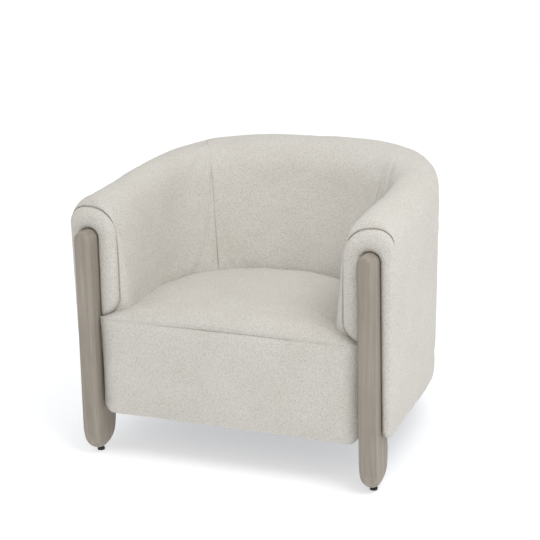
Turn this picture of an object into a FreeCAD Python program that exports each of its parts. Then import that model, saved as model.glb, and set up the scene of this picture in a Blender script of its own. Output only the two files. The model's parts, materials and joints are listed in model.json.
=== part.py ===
import FreeCAD, Part
import math
import os
import Sketcher

# Upholstered tub armchair.  Z is up, the chair faces -Y, and the origin is on the floor
# under the middle of its outside size.  Left and right are as seen from the front.

DIMENSIONS = {
    # The barrel: its outside plan is a straight side, then an arch of five tangent arcs.
    "half_width": 416,
    "front_plane": -398,
    "back_plane": 398,
    "facing_plane": -341,
    "shell_bottom": 137,
    "crest_front": 670,
    "crest_rise": 45,
    "crest_round": 57,
    "side_spring": -30,
    "side_turn": 24,
    "corner_turn": 58,
    "corner_radius": 286,
    # The bucket between the arms, narrow at seat level and wider at the crest.
    "seat_half": 268,
    "seat_spring": -188,
    "seat_back": 100,
    "crest_half": 291,
    "crest_spring": -20,
    "crest_back": 208,
    "bucket_turn": 40,
    "bucket_floor": 378,
    "bucket_top": 722,
    # Soft layers and boards, from the outside in.
    "cover": 3,
    "wadding": 6,
    "board": 4,
    "arm_pad": 42,
    "back_pad": 60,
    "arm_core_top": 600,
    "back_core_top": 632,
    # The seams that divide the arms from the back.
    "seam_apex": -287,
    "seam_reach": 500,
    "seam_half": 454,
    # Seat.
    "seat_bottom": 115,
    "seat_front": -377,
    "seat_top": 411,
    "seat_seam": 367,
    "seat_ear_top": 377,
    "seat_side": 344,
    "seat_round": 26,
    "seat_gap": 0.5,
    "deck": 292,
    "deck_cloth": 3,
    # Legs.
    "leg_center": 367.5,
    "leg_width": 45,
    "leg_depth": 111,
    "leg_top": 593,
    "leg_edge": 13,
    "leg_crown_flat": 0.1,
    "foot_turn": 40,
    "toe_rise": 45,
    "heel_rise": 82,
    "foot_sink": 2,
    "rear_leg_x": 224,
    "rear_leg_y": 244,
    "rear_leg_depth": 92,
    "glide_width": 19,
    "glide_rise": 5,
    "nail_width": 4,
    "nail_length": 18,
    # Wooden frame.
    "rail": 25,
    "rail_bottom": 120,
    "rail_top": 280,
    "rail_half": 330,
    "side_rail_x": 320,
    "post_inner": 334,
    "post_outer": 394,
    "post_depth": 35,
    "back_post_width": 42,
    "upright_x": 150,
    "upright_width": 45,
    "upright_y": 328,
    "rib": 24,
    "base_rib_width": 110,
    "back_rail_y": 122,
    "corner_block": 70,
    "block_top": 190,
    # Springs and hardware.
    "wire": 3.6,
    "spring_pitch": 22,
    "spring_wave": 44,
    "spring_gap": 104,
    "clip_width": 20,
    "clip_plate": 2,
    "strap_half": 25,
    "strap_gap": 110,
    "strap": 2,
    "bolt": 8,
    "bolt_low": 250,
    "bolt_high": 470,
    "bolt_length": 74,
    "bolt_head": 14,
    "bolt_head_rise": 5,
    "insert_width": 12,
    "insert_length": 20,
    "clip_tail": 7,
    "dust_cloth": 1.5,
    "dust_inset": 16,
    # How far the shapes that only trim others reach past them.
    "past": 20,
    "far": 900,
}

UP = FreeCAD.Vector(0, 0, 1)
UPRIGHT = FreeCAD.Rotation(0, 0, 0)
FACE_FRONT = FreeCAD.Rotation(FreeCAD.Vector(1, 0, 0), 90)
FACE_SIDE = FreeCAD.Rotation(FreeCAD.Vector(1, 1, 1), 120)
DOWN_FRONT = FreeCAD.Rotation(FreeCAD.Vector(1, 0, 0), -90)
DOWN_SIDE = FreeCAD.Rotation(FreeCAD.Vector(-1, -1, 1), 120)
ON_Y_AXIS = -2

doc = FreeCAD.newDocument("Armchair")
sheet = doc.addObject("Spreadsheet::Sheet", "Size")
for row, (alias, value) in enumerate(DIMENSIONS.items(), start=1):
    sheet.set(f"A{row}", alias)
    sheet.set(f"B{row}", str(value))
    sheet.setAlias(f"B{row}", alias)
doc.recompute()
nodes = []


def number(expression):
    """The value of an expression over the sheet."""
    result = sheet.evalExpression(str(expression))
    return float(getattr(result, "Value", result))


def bind(feature, sizes):
    for name, expression in sizes.items():
        feature.setExpression(name, str(expression))
    return feature


def node(feature, name):
    """Mark a feature as a finished sub-part under its own label."""
    feature.Label = name
    nodes.append(feature)
    return feature


def mirrored(feature, name):
    copy = doc.addObject("Part::Mirroring", name)
    copy.Source = feature
    copy.Normal = FreeCAD.Vector(1, 0, 0)
    return copy


def node_pair(feature, name):
    """The +X piece and its mirror image, as two sub-parts."""
    node(mirrored(feature, f"{name}_mirror"), f"{name}_left")
    node(feature, f"{name}_right")


def joined(kind, name, pieces):
    """A multi-shape boolean, Part::MultiFuse or Part::MultiCommon."""
    result = doc.addObject(kind, name)
    result.Shapes = pieces
    return result


def fuse(name, *pieces):
    return joined("Part::MultiFuse", name, list(pieces))


def common(name, *pieces):
    return joined("Part::MultiCommon", name, list(pieces))


def cut(name, base, *tools):
    """Base with each tool taken away in turn."""
    for count, tool in enumerate(tools, start=1):
        result = doc.addObject("Part::Cut", f"{name}_{count}")
        result.Base = base
        result.Tool = tool
        base = result
    return base


def block(name, x, y, z):
    """A box between low and high expressions on each axis."""
    box = doc.addObject("Part::Box", name)
    for axis, side, (low, high) in zip("xyz", ("Length", "Width", "Height"), (x, y, z)):
        bind(box, {f"Placement.Base.{axis}": low, side: f"({high}) - ({low})"})
    return box


def rod(name, radius, length, x, y, z, turn=UPRIGHT):
    """A round bar that starts at x, y, z and runs along the turned Z axis."""
    bar = doc.addObject("Part::Cylinder", name)
    bar.Placement = FreeCAD.Placement(FreeCAD.Vector(), turn)
    places = {f"Placement.Base.{axis}": place for axis, place in zip("xyz", (x, y, z))}
    return bind(bar, {"Radius": radius, "Height": length, **places})


def rounded(name, base, radius, chosen):
    """Fillet the edges of base that chosen() accepts."""
    doc.recompute()
    size = number(radius)
    edges = [i for i, edge in enumerate(base.Shape.Edges, start=1) if chosen(edge)]
    result = doc.addObject("Part::Fillet", name)
    result.Base = base
    result.Edges = [(i, size, size) for i in edges]
    return result


def prism(name, sketch, direction, length, both_ways=False):
    """A sketch pushed along a direction by a length expression."""
    result = doc.addObject("Part::Extrusion", name)
    result.Base = sketch
    result.DirMode = "Custom"
    result.Dir = direction
    result.Symmetric = both_ways
    result.Solid = True
    return bind(result, {"LengthFwd": length})


def pin(sketch, name, constraint, expression):
    """Add a named dimension and bind it to the sheet."""
    index = sketch.addConstraint(constraint)
    sketch.renameConstraint(index, name)
    sketch.setExpression(f"Constraints.{name}", str(expression))


def polygon(name, turn, points):
    """A closed sketch through points, each a pair of expressions."""
    sketch = doc.addObject("Sketcher::SketchObject", name)
    sketch.Placement = FreeCAD.Placement(FreeCAD.Vector(), turn)
    places = [FreeCAD.Vector(number(u), number(v), 0) for u, v in points]
    for start, end in zip(places, places[1:] + places[:1]):
        sketch.addGeometry(Part.LineSegment(start, end))
    for i, (u, v) in enumerate(points):
        after = (i + 1) % len(points)
        sketch.addConstraint(Sketcher.Constraint("Coincident", i, 2, after, 1))
        across = Sketcher.Constraint("DistanceX", -1, 1, i, 1, places[i].x)
        along = Sketcher.Constraint("DistanceY", -1, 1, i, 1, places[i].y)
        pin(sketch, f"across_{i}", across, u)
        pin(sketch, f"along_{i}", along, v)
    return sketch


def arch_radii(half, rise, turns, known):
    """First and last radii of tangent arcs that climb from a side to the middle."""
    ends = [0.0]
    for turn in turns:
        ends.append(ends[-1] + turn)
    width_left = half
    rise_left = rise
    for radius, start, end in zip(known, ends[1:], ends[2:]):
        width_left -= radius * (math.cos(start) - math.cos(end))
        rise_left -= radius * (math.sin(end) - math.sin(start))
    a, b = 1 - math.cos(ends[1]), math.cos(ends[-1])
    c, d = math.sin(ends[1]), 1 - math.sin(ends[-1])
    first = (width_left * d - b * rise_left) / (a * d - b * c)
    last = (a * rise_left - c * width_left) / (a * d - b * c)
    return first, last


def arch(name, half, spring, back, front, turns, known=(), turn=UPRIGHT, x="0", y="0", z="0"):
    """A closed outline: front line, straight sides, and an arch of tangent arcs."""
    sketch = doc.addObject("Sketcher::SketchObject", name)
    sketch.Placement = FreeCAD.Placement(FreeCAD.Vector(), turn)
    bind(sketch, {"Placement.Base.x": x, "Placement.Base.y": y, "Placement.Base.z": z})
    w, s, b, f = number(half), number(spring), number(back), number(front)
    angles = [math.radians(number(degrees)) for degrees in turns]
    middle = [number(radius) for radius in known]
    first, last = arch_radii(w, b - s, angles, middle)
    radii = [first, *middle, last]
    center = FreeCAD.Vector(w - first, s, 0)
    start = 0.0
    right = []
    for i, angle in enumerate(angles):
        circle = Part.Circle(center, UP, radii[i])
        right.append(sketch.addGeometry(Part.ArcOfCircle(circle, start, start + angle)))
        start += angle
        step = radii[i] - radii[i + 1]
        center = center + FreeCAD.Vector(math.cos(start), math.sin(start), 0) * step
    top = Part.ArcOfCircle(Part.Circle(center, UP, last), start, math.pi - start)
    top = sketch.addGeometry(top)
    left = []
    for i in reversed(range(len(right))):
        mate = sketch.Geometry[right[i]]
        place = FreeCAD.Vector(-mate.Center.x, mate.Center.y, 0)
        circle = Part.Circle(place, UP, mate.Radius)
        turned = (math.pi - mate.LastParameter, math.pi - mate.FirstParameter)
        left.append(sketch.addGeometry(Part.ArcOfCircle(circle, *turned)))
    corners = [FreeCAD.Vector(x, y, 0) for x, y in ((w, f), (w, s), (-w, s), (-w, f))]
    side = sketch.addGeometry(Part.LineSegment(corners[0], corners[1]))
    far_side = sketch.addGeometry(Part.LineSegment(corners[2], corners[3]))
    mouth = sketch.addGeometry(Part.LineSegment(corners[3], corners[0]))
    chain = [side, *right, top, *left, far_side]
    for before, after in zip(chain, chain[1:]):
        sketch.addConstraint(Sketcher.Constraint("Tangent", before, 2, after, 1))
    sketch.addConstraint(Sketcher.Constraint("Coincident", far_side, 2, mouth, 1))
    sketch.addConstraint(Sketcher.Constraint("Coincident", mouth, 2, side, 1))
    for line, way in ((side, "Vertical"), (far_side, "Vertical"), (mouth, "Horizontal")):
        sketch.addConstraint(Sketcher.Constraint(way, line))
    sketch.addConstraint(Sketcher.Constraint("Symmetric", top, 1, top, 2, ON_Y_AXIS))
    for mate, arc in zip(reversed(right), left):
        sketch.addConstraint(Sketcher.Constraint("Equal", mate, arc))
    spans = list(zip(right, angles, turns)) + list(zip(left, angles[::-1], turns[::-1]))[:-1]
    for i, (arc, angle, degrees) in enumerate(spans):
        pin(sketch, f"turn_{i}", Sketcher.Constraint("Angle", arc, angle), f"{degrees} * 1 deg")
    for i, (arc, radius) in enumerate(zip(right[1:], known)):
        pin(sketch, f"radius_{i}", Sketcher.Constraint("Radius", arc, number(radius)), radius)
    peak = sketch.addGeometry(Part.Point(FreeCAD.Vector(0, b, 0)), True)
    sketch.addConstraint(Sketcher.Constraint("PointOnObject", peak, 1, top))
    sketch.addConstraint(Sketcher.Constraint("PointOnObject", peak, 1, ON_Y_AXIS))
    pin(sketch, "half", Sketcher.Constraint("DistanceX", -1, 1, side, 1, w), half)
    pin(sketch, "front", Sketcher.Constraint("DistanceY", -1, 1, side, 1, f), front)
    pin(sketch, "spring", Sketcher.Constraint("DistanceY", -1, 1, side, 2, s), spring)
    pin(sketch, "back", Sketcher.Constraint("DistanceY", -1, 1, peak, 1, b), back)
    return sketch


def barrel(name, inset, front, low, high):
    """The outside plan, moved in by inset, as an upright solid."""
    plan = arch(
        f"{name}_plan",
        z=low,
        half=f"Size.half_width - ({inset})",
        spring="Size.side_spring",
        back=f"Size.back_plane - ({inset})",
        front=front,
        turns=("Size.side_turn", "Size.corner_turn"),
        known=(f"Size.corner_radius - ({inset})",),
    )
    return prism(name, plan, UP, f"({high}) - ({low})")


def bucket(name, grow, low="Size.shell_bottom - Size.past"):
    """The open space between the arms, made larger by grow all round."""
    turns = ("Size.bucket_turn",)
    open_front = "Size.front_plane - Size.past"
    seat_plan = arch(
        f"{name}_seat_plan",
        z="Size.bucket_floor",
        half=f"Size.seat_half + ({grow})",
        spring="Size.seat_spring",
        back=f"Size.seat_back + ({grow})",
        front=open_front,
        turns=turns,
    )
    crest_plan = arch(
        f"{name}_crest_plan",
        z="Size.bucket_top",
        half=f"Size.crest_half + ({grow})",
        spring="Size.crest_spring",
        back=f"Size.crest_back + ({grow})",
        front=open_front,
        turns=turns,
    )
    upper = doc.addObject("Part::Loft", f"{name}_upper")
    upper.Sections = [seat_plan, crest_plan]
    upper.Solid = True
    upper.Ruled = True
    lower = prism(f"{name}_lower", seat_plan, -UP, f"Size.bucket_floor - ({low})")
    return fuse(name, upper, lower)


def crest_level(y):
    rise = f"Size.crest_rise * (({y}) - Size.facing_plane) / (Size.back_plane - Size.facing_plane)"
    return f"Size.crest_front + {rise}"


CREST = "Size.crest_front + Size.crest_rise + Size.past"


def tub(name, inset):
    """The whole padded U of arms and back, inset from its outside face."""
    front = f"Size.facing_plane + {inset}"
    back = f"Size.back_plane - {inset}"
    low = f"Size.shell_bottom + {inset}"
    high = CREST
    outside = barrel(f"{name}_barrel", inset, front, low, high)
    walls = cut(f"{name}_walls", outside, bucket(f"{name}_bucket", inset))
    side_points = [
        (front, low),
        (back, low),
        (back, f"{crest_level(back)} - {inset}"),
        (front, f"{crest_level(front)} - {inset}"),
    ]
    side_view = polygon(f"{name}_side", FACE_SIDE, side_points)
    slope = prism(f"{name}_slope", side_view, FreeCAD.Vector(1, 0, 0), "Size.far", True)
    trimmed = common(f"{name}_trimmed", walls, slope)

    def on_crest(edge):
        ends = [edge.valueAt(edge.FirstParameter), edge.valueAt(edge.LastParameter)]
        heights = [number(f"{crest_level(end.y)} - {inset}") for end in ends]
        level = all(abs(end.z - z) < 0.01 for end, z in zip(ends, heights))
        return level and not all(abs(end.y - number(front)) < 0.01 for end in ends)

    return rounded(name, trimmed, f"Size.crest_round - {inset}", on_crest)


# Zones that divide the barrel: the back lies between the two arm seams.
back_zone_points = [
    ("0", "Size.seam_apex"),
    ("Size.seam_half", "Size.seam_reach"),
    ("-Size.seam_half", "Size.seam_reach"),
]
back_zone = prism("back_zone", polygon("back_zone_plan", UPRIGHT, back_zone_points), UP, "Size.far")
right_side = block("right_side", ("0", "Size.far"), ("-Size.far", "Size.far"), ("0", "Size.far"))
arm_zone = cut("arm_zone", right_side, back_zone)
facing_zone = block(
    "facing_zone",
    ("0", "Size.far"),
    ("Size.facing_plane - Size.past", "Size.facing_plane + Size.cover"),
    ("0", "Size.far"),
)

outer_tub = tub("outer_tub", "0")
padded_tub = tub("padded_tub", "Size.cover")
PADDED_FRONT = "Size.facing_plane + Size.cover + Size.wadding"
PANEL_FACE = "Size.cover + Size.wadding"
PANEL_BACK = "Size.cover + Size.wadding + Size.board"
RAIL_LOW = "Size.shell_bottom + Size.cover"
DECK_LOW = "Size.deck - Size.deck_cloth"

# Inside the seat, the soft layers of the arms and back stop at the deck.
deck_zone = block(
    "deck_zone",
    ("-Size.rail_half", "Size.rail_half"),
    ("Size.front_plane", "Size.seat_back + Size.cover + Size.back_pad + Size.strap"),
    ("0", DECK_LOW),
)
LEG_BACK = "Size.leg_depth + Size.front_plane"


def leg_bolt_rods(name, radius, start, length):
    """Round bars along the bolts that hold a front leg to its arm."""
    bars = []
    for i, height in enumerate(("Size.bolt_low", "Size.bolt_high")):
        turn = FACE_FRONT
        bars.append(rod(f"{name}_{i}", radius, length, "Size.leg_center", start, height, turn))
    return fuse(name, *bars)


POST_BACK = f"{PADDED_FRONT} + Size.post_depth"
REAR_LEG_MIDDLE = "Size.rear_leg_y + Size.rear_leg_depth / 2"
BASE_RIB_TOP = f"{RAIL_LOW} + Size.rib"
rear_bolt_low = f"({BASE_RIB_TOP}) - Size.bolt_length"
bolt_shanks = leg_bolt_rods("bolt_shanks", "Size.bolt / 2", POST_BACK, "Size.bolt_length")
bolt_heads = leg_bolt_rods(
    "bolt_heads", "Size.bolt_head / 2", f"{POST_BACK} + Size.bolt_head_rise", "Size.bolt_head_rise"
)
rear_shank = rod(
    "rear_shank", "Size.bolt / 2", "Size.bolt_length", "Size.rear_leg_x", REAR_LEG_MIDDLE, rear_bolt_low
)
rear_head = rod(
    "rear_head",
    "Size.bolt_head / 2",
    "Size.bolt_head_rise",
    "Size.rear_leg_x",
    REAR_LEG_MIDDLE,
    BASE_RIB_TOP,
)
bolts = fuse("bolts_right", bolt_shanks, bolt_heads, rear_shank, rear_head)
node(fuse("leg_bolts", bolts, mirrored(bolts, "bolts_left")), "leg_bolts")
both_shanks = fuse("both_shanks", rear_shank, mirrored(rear_shank, "rear_shank_left"))

insert_rods = leg_bolt_rods(
    "insert_rods", "Size.insert_width / 2", "Size.facing_plane", "Size.insert_length"
)
inserts = cut("inserts", insert_rods, bolt_shanks)
node(fuse("leg_inserts", inserts, mirrored(inserts, "inserts_left")), "leg_inserts")

# Fabric covers: the thin layer between the outside face and the padding.
cover_layer = cut("cover_layer", outer_tub, padded_tub, deck_zone)
facing = common("facing", cover_layer, facing_zone)
node_pair(cut("arm_facing", facing, bolt_shanks), "arm_facing_cover")
arm_layer = common("arm_side_layer", cover_layer, arm_zone)
node_pair(cut("arm_layer", arm_layer, facing_zone), "arm_cover")
back_layer = common("back_layer", cover_layer, back_zone)
inside_band = barrel(
    "inside_band", "Size.crest_round", "Size.facing_plane", DECK_LOW, CREST
)
node(common("inside_back", back_layer, inside_band), "inside_back_cover")
node(cut("outside_back", back_layer, inside_band, both_shanks), "outside_back_cover")


def core(name, pad, top):
    """The space inside the padding of an arm or the back, which holds the frame."""
    outside = barrel(f"{name}_barrel", PANEL_FACE, PADDED_FRONT, "Size.shell_bottom", top)
    return cut(name, outside, bucket(f"{name}_bucket", f"Size.cover + {pad}"))


def panel_band(name, top):
    """The thin board layer just inside the outside padding."""
    outside = barrel(f"{name}_outside", PANEL_FACE, PADDED_FRONT, RAIL_LOW, top)
    inside = barrel(f"{name}_inside", PANEL_BACK, "Size.front_plane", "Size.seat_bottom", CREST)
    return cut(name, outside, inside)


arm_core = core("arm_core", "Size.arm_pad", "Size.arm_core_top")
back_core = core("back_core", "Size.back_pad", "Size.back_core_top")
arm_padding = common("arm_padding_zone", padded_tub, arm_zone)
node_pair(cut("arm_padding", arm_padding, arm_core, deck_zone, bolt_shanks), "arm_padding")
back_padding = common("back_padding_zone", padded_tub, back_zone)
node(cut("back_padding", back_padding, back_core, deck_zone), "back_padding")

# Thin boards that back the outside cover, and the ones behind the inside arm padding.
node_pair(
    common("arm_panel", panel_band("arm_panel_band", "Size.arm_core_top"), arm_zone),
    "arm_outer_panel",
)
node(
    common("back_panel", panel_band("back_panel_band", "Size.back_core_top"), back_zone),
    "back_outer_panel",
)
inner_reach = block(
    "inner_reach",
    ("0", "Size.half_width"),
    (PADDED_FRONT, "Size.back_plane"),
    ("Size.deck", "Size.arm_core_top - Size.rib"),
)
inner_board = cut(
    "inner_board",
    bucket("inner_board_back", "Size.cover + Size.arm_pad + Size.board"),
    bucket("inner_board_face", "Size.cover + Size.arm_pad"),
)
node_pair(common("arm_inner_panel", inner_board, arm_zone, inner_reach), "arm_inner_panel")

# Curved plywood ribs along the top of the arms and back, and round the base.
rib_plan = barrel(
    "arm_rib_plan", PANEL_BACK, PADDED_FRONT, "Size.arm_core_top - Size.rib", "Size.arm_core_top"
)
arm_rib = cut(
    "arm_rib", rib_plan, bucket("arm_rib_bucket", "Size.cover + Size.arm_pad + Size.board")
)
node_pair(common("arm_top_rail", arm_rib, arm_zone), "arm_top_rail")
back_rib_plan = barrel(
    "back_rib_plan", PANEL_BACK, PADDED_FRONT, "Size.back_core_top - Size.rib", "Size.back_core_top"
)
back_rib = cut(
    "back_rib", back_rib_plan, bucket("back_rib_bucket", "Size.cover + Size.back_pad + Size.strap")
)
node(common("back_top_rail", back_rib, back_zone), "back_top_rail")
base_rib_plan = barrel("base_rib_plan", PANEL_BACK, PADDED_FRONT, RAIL_LOW, BASE_RIB_TOP)
base_rib_hollow = barrel(
    "base_rib_hollow",
    f"{PANEL_BACK} + Size.base_rib_width",
    "Size.front_plane",
    "Size.seat_bottom",
    CREST,
)
before_back_rail = block(
    "before_back_rail",
    ("-Size.half_width", "Size.half_width"),
    ("Size.front_plane", "Size.back_rail_y + Size.rail"),
    ("0", BASE_RIB_TOP),
)
base_rib = cut("base_rib", base_rib_plan, base_rib_hollow, before_back_rail, both_shanks)
node(base_rib, "back_base_rail")

# Rails, posts and corner blocks of the seat frame.
front_rail = block(
    "front_rail",
    ("-Size.rail_half", "Size.rail_half"),
    (PADDED_FRONT, f"{PADDED_FRONT} + Size.rail"),
    ("Size.rail_bottom", "Size.rail_top"),
)
node(front_rail, "seat_front_rail")
back_rail = block(
    "back_rail",
    ("-Size.side_rail_x - Size.rail", "Size.side_rail_x + Size.rail"),
    ("Size.back_rail_y", "Size.back_rail_y + Size.rail"),
    (RAIL_LOW, "Size.rail_top"),
)
node(back_rail, "seat_back_rail")
side_rail = block(
    "side_rail",
    ("Size.side_rail_x", "Size.side_rail_x + Size.rail"),
    (POST_BACK, "Size.back_rail_y"),
    (RAIL_LOW, "Size.rail_top"),
)
node_pair(side_rail, "seat_side_rail")
front_post = block(
    "front_post",
    ("Size.post_inner", "Size.post_outer"),
    (PADDED_FRONT, POST_BACK),
    (RAIL_LOW, "Size.arm_core_top - Size.rib"),
)
node_pair(cut("arm_front_post", front_post, bolt_shanks), "arm_front_post")
back_post = block(
    "back_post",
    ("Size.side_rail_x", "Size.side_rail_x + Size.back_post_width"),
    ("Size.back_rail_y + Size.rail", "Size.back_rail_y + Size.rail + Size.post_depth"),
    (BASE_RIB_TOP, "Size.arm_core_top - Size.rib"),
)
node_pair(back_post, "arm_back_post")
upright = block(
    "upright",
    ("Size.upright_x - Size.upright_width / 2", "Size.upright_x + Size.upright_width / 2"),
    ("Size.upright_y", "Size.upright_y + Size.post_depth"),
    (BASE_RIB_TOP, "Size.back_core_top - Size.rib"),
)
node_pair(upright, "back_upright")


def corner_block(name, corner_y, reach_y):
    """A triangular glue block in the angle of two rails."""
    points = [
        ("Size.side_rail_x", corner_y),
        ("Size.side_rail_x", reach_y),
        ("Size.side_rail_x - Size.corner_block", corner_y),
    ]
    plan = polygon(f"{name}_plan", UPRIGHT, points)
    bind(plan, {"Placement.Base.z": RAIL_LOW})
    return prism(name, plan, UP, f"Size.block_top - ({RAIL_LOW})")


rail_inside = f"{PADDED_FRONT} + Size.rail"
front_block = corner_block("front_block", rail_inside, f"{rail_inside} + Size.corner_block")
rear_block = corner_block("rear_block", "Size.back_rail_y", "Size.back_rail_y - Size.corner_block")
blocks = fuse("blocks_right", front_block, rear_block)
node(fuse("corner_blocks", blocks, mirrored(blocks, "blocks_left")), "corner_blocks")

# Sinuous seat springs run from the front rail to the back rail, in clips.
WIRE_LEVEL = number("Size.rail_top + Size.clip_plate + Size.wire / 2")


def sinuous_spring(x, start, end):
    """One zigzag wire: cross bars joined by half circles."""
    pitch = number("Size.spring_pitch")
    bend = pitch / 2
    reach = number("Size.spring_wave") / 2 - bend
    bars = int((end - start) / pitch) + 1
    edges = []
    for i in range(bars):
        side = 1 if i % 2 == 0 else -1
        y = start + i * pitch
        near = FreeCAD.Vector(x - side * reach, y, WIRE_LEVEL)
        far = FreeCAD.Vector(x + side * reach, y, WIRE_LEVEL)
        edges.append(Part.LineSegment(near, far).toShape())
        if i < bars - 1:
            crown = FreeCAD.Vector(x + side * (reach + bend), y + bend, WIRE_LEVEL)
            turned = FreeCAD.Vector(x + side * reach, y + pitch, WIRE_LEVEL)
            edges.append(Part.Arc(far, crown, turned).toShape())
    path = Part.Wire(edges)
    begin = path.Vertexes[0].Point
    ring = Part.Circle(begin, FreeCAD.Vector(1, 0, 0), number("Size.wire") / 2)
    section = Part.Wire(ring.toShape())
    return path.makePipeShell([section], True, False)


spring_start = number(f"{PADDED_FRONT} + Size.rail / 2")
spring_end = number("Size.back_rail_y + Size.rail")
spring_places = [i * number("Size.spring_gap") for i in range(-2, 3)]
springs = doc.addObject("Part::Feature", "seat_springs")
springs.Shape = Part.Compound([sinuous_spring(x, spring_start, spring_end) for x in spring_places])
node(springs, "seat_springs")
last_bar = int((spring_end - spring_start) / number("Size.spring_pitch"))
bar_places = (spring_start, spring_start + last_bar * number("Size.spring_pitch"))


def spring_clip(name, x, y):
    """A folded clip: a plate on the rail, a wall and a lip over the wire."""
    wire_top = "Size.rail_top + Size.clip_plate + Size.wire"
    across = (f"{x} - Size.clip_width / 2", f"{x} + Size.clip_width / 2")
    gap = "Size.wire / 2"
    turn = 1 if y < 0 else -1
    back = f"{y} - {turn} * ({gap} + Size.clip_plate)"
    wall_ends = sorted([f"{y} - {turn} * {gap}", back], key=number)
    plate_ends = sorted([f"{y} + {turn} * Size.clip_tail", back], key=number)
    plate_top = "Size.rail_top + Size.clip_plate"
    lip_top = f"{wire_top} + Size.clip_plate"
    plate = block(f"{name}_plate", across, plate_ends, ("Size.rail_top", plate_top))
    wall = block(f"{name}_wall", across, wall_ends, (plate_top, wire_top))
    lip = block(f"{name}_lip", across, plate_ends, (wire_top, lip_top))
    return fuse(name, plate, wall, lip)


clips = []
for i, x in enumerate(spring_places):
    for end, y in zip(("front", "back"), bar_places):
        clips.append(spring_clip(f"clip_{end}_{i}", x, y))
node(fuse("spring_clips", *clips), "spring_clips")

# Webbing straps behind the inside back padding, from the back rail to the top rail.
strap_layer = cut(
    "strap_layer",
    bucket("strap_back", "Size.cover + Size.back_pad + Size.strap"),
    bucket("strap_face", "Size.cover + Size.back_pad"),
)
strap_zones = []
for i in range(-1, 2):
    middle = f"{i} * Size.strap_gap"
    across = (f"{middle} - Size.strap_half", f"{middle} + Size.strap_half")
    reach = ("Size.deck", "Size.back_core_top")
    zone = block(f"strap_zone_{i + 1}", across, ("0", "Size.back_plane"), reach)
    strap_zones.append(common(f"strap_{i + 1}", strap_layer, zone))
node(fuse("back_webbing", *strap_zones), "back_webbing")


# Seat: foam and covers share one outside shape, which fills the bucket and the front.
def seat_shape(name, inset, low):
    gap = f"Size.seat_gap + {inset}"
    plan = arch(
        f"{name}_plan",
        z=low,
        half=f"Size.seat_half - ({gap})",
        spring="Size.seat_spring",
        back=f"Size.seat_back - ({gap})",
        front=f"Size.seat_front + {inset}",
        turns=("Size.bucket_turn",),
    )
    middle = prism(f"{name}_middle", plan, UP, f"Size.seat_top - {inset} - ({low})")
    ears = block(
        f"{name}_ears",
        (f"-Size.seat_side + {inset}", f"Size.seat_side - {inset}"),
        (f"Size.seat_front + {inset}", f"Size.facing_plane - ({gap})"),
        (low, f"Size.seat_ear_top - {inset}"),
    )
    front = number(f"Size.seat_front + {inset}")
    side = number(f"Size.seat_side - {inset}")
    top = number(f"Size.seat_top - {inset}")

    def on_front_corner(edge):
        box = edge.BoundBox
        upright = abs(box.YMin - front) < 0.1 and abs(box.YMax - front) < 0.1
        outer = abs(abs(box.XMin) - side) < 0.1 and abs(abs(box.XMax) - side) < 0.1
        return upright and outer and box.XLength < 1

    def on_front_top(edge):
        box = edge.BoundBox
        return abs(box.ZMin - top) < 0.1 and abs(box.YMax - front) < 0.1

    rounded_ears = rounded(f"{name}_round_ears", ears, f"Size.seat_round - {inset}", on_front_corner)
    rounded_top = rounded(f"{name}_round_top", middle, f"Size.seat_round - {inset}", on_front_top)
    return fuse(name, rounded_top, rounded_ears)


seat_outside = seat_shape("seat_outside", "0", "Size.seat_bottom")
seat_inside = seat_shape("seat_inside", "Size.cover", "Size.seat_bottom")
seat_skin = cut("seat_skin", seat_outside, seat_inside)
WHOLE_WIDTH = ("-Size.half_width", "Size.half_width")
WHOLE_DEPTH = ("Size.front_plane", "Size.back_plane")
above_seam = block("above_seam", WHOLE_WIDTH, WHOLE_DEPTH, ("Size.seat_seam", CREST))
below_seam = block(
    "below_seam",
    WHOLE_WIDTH,
    ("Size.front_plane", "Size.facing_plane"),
    ("Size.seat_bottom", "Size.seat_seam"),
)
node(common("seat_top_cover", seat_skin, above_seam), "seat_top_cover")
node(common("seat_front_cover", seat_skin, below_seam), "seat_front_cover")
above_deck = block("above_deck", WHOLE_WIDTH, WHOLE_DEPTH, ("Size.deck", CREST))
before_rail = block(
    "before_rail",
    WHOLE_WIDTH,
    ("Size.front_plane", PADDED_FRONT),
    ("Size.seat_bottom + Size.cover", "Size.deck"),
)
node(common("seat_foam", seat_inside, above_deck), "seat_foam")
front_pad = common("seat_front_pad", seat_inside, before_rail)
node(front_pad, "seat_front_pad")
deck_plan = arch(
    "deck_plan",
    z=DECK_LOW,
    half="Size.seat_half - Size.seat_gap",
    spring="Size.seat_spring",
    back="Size.seat_back - Size.seat_gap",
    front=f"{PADDED_FRONT} + Size.cover",
    turns=("Size.bucket_turn",),
)
node(prism("deck_cloth", deck_plan, UP, "Size.deck_cloth"), "seat_deck_cloth")
dust = barrel(
    "dust",
    "Size.dust_inset",
    f"{LEG_BACK} + Size.seat_gap",
    "Size.shell_bottom - Size.dust_cloth",
    "Size.shell_bottom",
)
node(cut("dust_cover", dust, both_shanks), "dust_cover")


def level_edges(axis, level, front=None):
    """Chooses the straight edges that run along an axis at a height, or only the front one."""

    def chosen(edge):
        box = edge.BoundBox
        length = box.YLength if axis == "y" else box.XLength
        flat = abs(box.ZMin - level) < 0.01 and abs(box.ZMax - level) < 0.01
        placed = front is None or abs(box.YMin - front) < 0.01
        return flat and placed and length > 0.9 * edge.Length

    return chosen


def upright_edges(edge):
    return edge.BoundBox.ZLength > 0.9 * edge.Length


def foot_outline(name, turn, x, y, half, rise, top):
    """A leg's outline from the front or side: straight down to a foot that narrows to a point."""
    return arch(
        name,
        half=half,
        spring=f"-({rise}) - Size.glide_rise + Size.foot_sink",
        back="Size.foot_sink - Size.glide_rise",
        front=f"-({top})",
        turns=("Size.foot_turn",),
        turn=turn,
        x=x,
        y=y,
    )


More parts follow.
